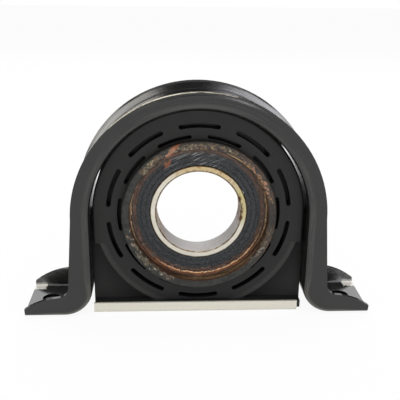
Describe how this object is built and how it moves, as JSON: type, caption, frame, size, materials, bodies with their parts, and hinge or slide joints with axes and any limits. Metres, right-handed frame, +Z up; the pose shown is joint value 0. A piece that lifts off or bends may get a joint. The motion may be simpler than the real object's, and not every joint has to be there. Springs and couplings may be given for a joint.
{
  "type": "driveshaft centre bearing",
  "caption": "Driveshaft centre bearing: sealed ball bearing in a slotted rubber cushion, carried in an arched, flanged steel bracket with bolt-hole feet and a lipped base plate.",
  "frame": {"origin": "centre of the mounting surface under the feet, below the middle of the shaft bore", "axes": "+Z up from the mounting surface, +X along the feet to the right, +Y along the shaft towards the rear"},
  "size_m": [0.25, 0.0538, 0.163],
  "materials": {
    "bracket_paint": "glossy black paint with bare worn edges",
    "plate_steel": "pale plated sheet",
    "cushion_rubber": "matt moulded rubber, dusty on the hub",
    "sleeve_steel": "rusty, with dried preservative grease",
    "outer_race_steel": "ground steel under rust and preservative grease",
    "inner_race_steel": "ground steel with a thin amber film",
    "seal_rubber": "satin rubber seal",
    "cage_steel": "pressed sheet",
    "ball_steel": "polished"
  },
  "bodies": {
    "hanger": {"bracket": "bracket_paint", "base_plate": "plate_steel", "cushion": "cushion_rubber", "bearing_sleeve": "sleeve_steel", "outer_race": "outer_race_steel", "seal_front": "seal_rubber", "seal_rear": "seal_rubber"},
    "inner_ring": {"inner_race": "inner_race_steel"},
    "ball_cage": {"cage_front": "cage_steel", "cage_rear": "cage_steel", "cage_rivets": "cage_steel", "ball_1": "ball_steel", "ball_2": "ball_steel", "ball_3": "ball_steel", "ball_4": "ball_steel", "ball_5": "ball_steel", "ball_6": "ball_steel", "ball_7": "ball_steel", "ball_8": "ball_steel", "ball_9": "ball_steel", "ball_10": "ball_steel", "ball_11": "ball_steel", "ball_12": "ball_steel"}
  },
  "joints": [
    {"name": "inner_ring_spin", "type": "hinge", "parent": "hanger", "child": "inner_ring", "pos_m": [0, 0, 0.074], "axis": [0, 1, 0], "continuous": true},
    {"name": "ball_cage_spin", "type": "hinge", "parent": "hanger", "child": "ball_cage", "pos_m": [0, 0, 0.074], "axis": [0, 1, 0], "continuous": true}
  ],
  "couplings": [
    {"joint": "ball_cage_spin", "follows": "inner_ring_spin", "ratio": 0.4284}
  ]
}
